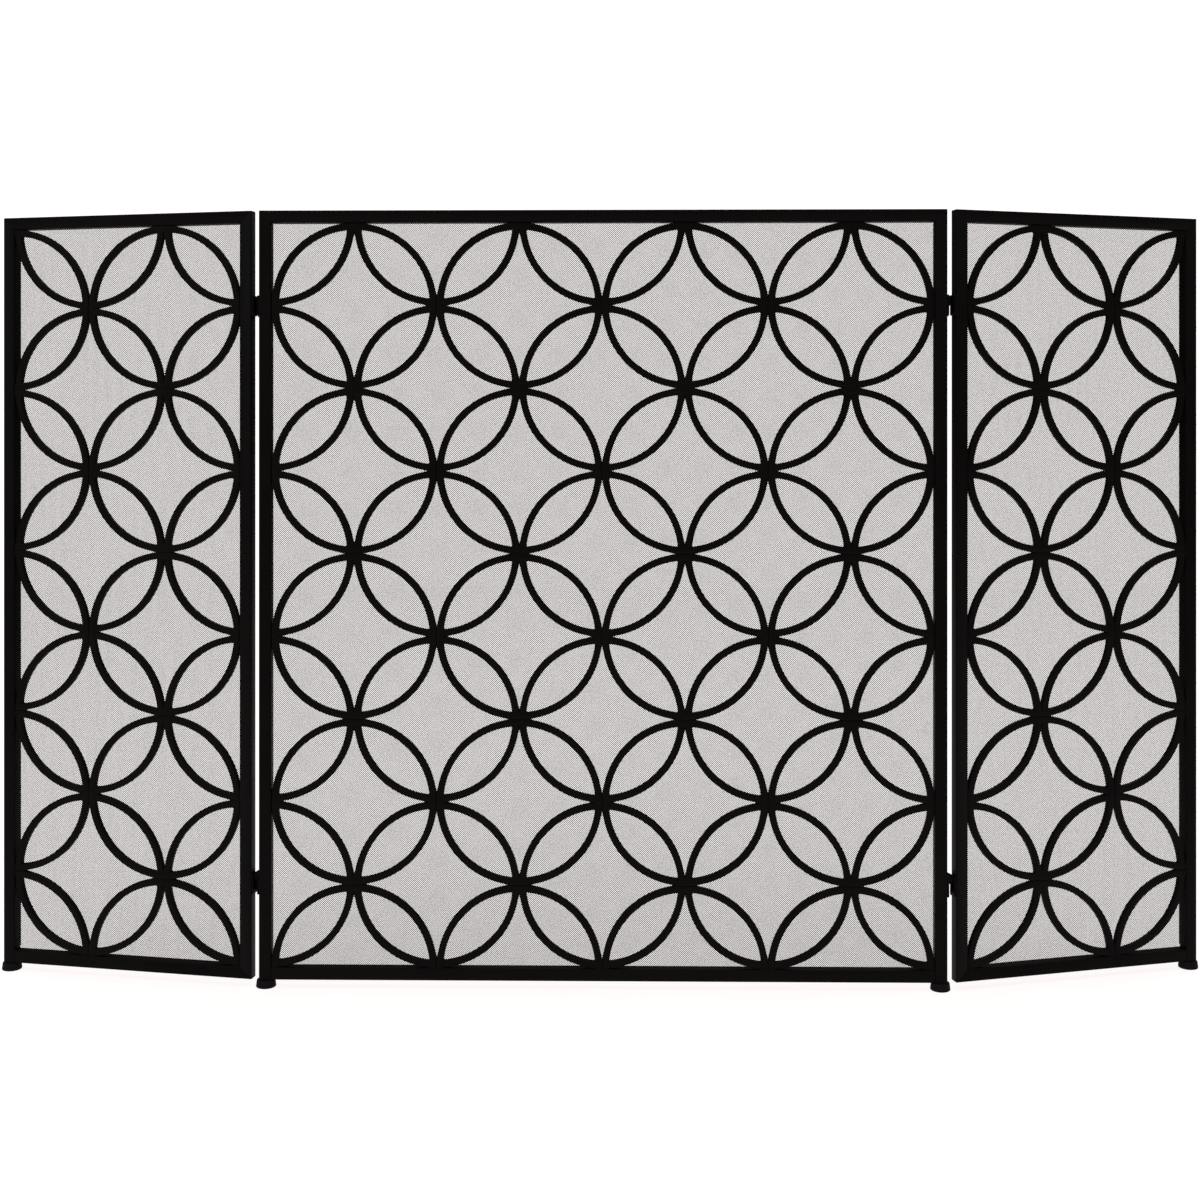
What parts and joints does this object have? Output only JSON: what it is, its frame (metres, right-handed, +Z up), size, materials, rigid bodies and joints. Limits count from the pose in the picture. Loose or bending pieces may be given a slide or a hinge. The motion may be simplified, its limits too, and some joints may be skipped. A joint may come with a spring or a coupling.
{
  "type": "fireplace screen",
  "caption": "Folding fireplace screen: a wide center panel with hinged wings, black steel frames filled with a lattice of overlapping rings over fine spark mesh.",
  "frame": {"origin": "on the floor, on the center panel's middle plane, midway between the front feet and the rear foot of the wing that stands back further", "axes": "+X to the right along the center panel, +Y away from the viewer towards the fire, +Z up"},
  "size_m": [1.2747, 0.0938, 0.7989],
  "materials": {
    "frame": "black powder coat, satin",
    "lattice": "black powder coat, satin",
    "mesh": "fine woven steel wire, painted black",
    "strips": "black powder coat, satin",
    "hinges": "black powder coat, satin",
    "pins": "plain steel pin, blackened",
    "feet": "black rubber ferrule, matt"
  },
  "bodies": {
    "center_panel": {"center_left_stile": "frame", "center_right_stile": "frame", "center_top_rail": "frame", "center_bottom_rail": "frame", "center_rings": "lattice", "center_stars": "lattice", "center_mesh": "mesh", "center_left_strip": "strips", "center_right_strip": "strips", "center_top_strip": "strips", "center_bottom_strip": "strips", "center_left_foot": "feet", "center_right_foot": "feet", "left_upper_hinge_center_leaf": "hinges", "left_upper_hinge_pin": "pins", "left_lower_hinge_center_leaf": "hinges", "left_lower_hinge_pin": "pins", "right_upper_hinge_center_leaf": "hinges", "right_upper_hinge_pin": "pins", "right_lower_hinge_center_leaf": "hinges", "right_lower_hinge_pin": "pins"},
    "left_wing": {"left_wing_inner_stile": "frame", "left_wing_outer_stile": "frame", "left_wing_top_rail": "frame", "left_wing_bottom_rail": "frame", "left_wing_rings": "lattice", "left_wing_stars": "lattice", "left_wing_mesh": "mesh", "left_wing_left_strip": "strips", "left_wing_right_strip": "strips", "left_wing_top_strip": "strips", "left_wing_bottom_strip": "strips", "left_wing_outer_foot": "feet", "left_upper_hinge_wing_leaf": "hinges", "left_lower_hinge_wing_leaf": "hinges"},
    "right_wing": {"right_wing_inner_stile": "frame", "right_wing_outer_stile": "frame", "right_wing_top_rail": "frame", "right_wing_bottom_rail": "frame", "right_wing_rings": "lattice", "right_wing_stars": "lattice", "right_wing_mesh": "mesh", "right_wing_left_strip": "strips", "right_wing_right_strip": "strips", "right_wing_top_strip": "strips", "right_wing_bottom_strip": "strips", "right_wing_outer_foot": "feet", "right_upper_hinge_wing_leaf": "hinges", "right_lower_hinge_wing_leaf": "hinges"}
  },
  "joints": [
    {"name": "left_fold", "type": "hinge", "parent": "center_panel", "child": "left_wing", "pos_m": [-0.3552, -0.02534, 0], "axis": [0, 0, -1], "range_deg": [-10.4, 169.6]},
    {"name": "right_fold", "type": "hinge", "parent": "center_panel", "child": "right_wing", "pos_m": [0.3552, -0.02534, 0], "axis": [0, 0, 1], "range_deg": [-15.3, 164.7]}
  ]
}
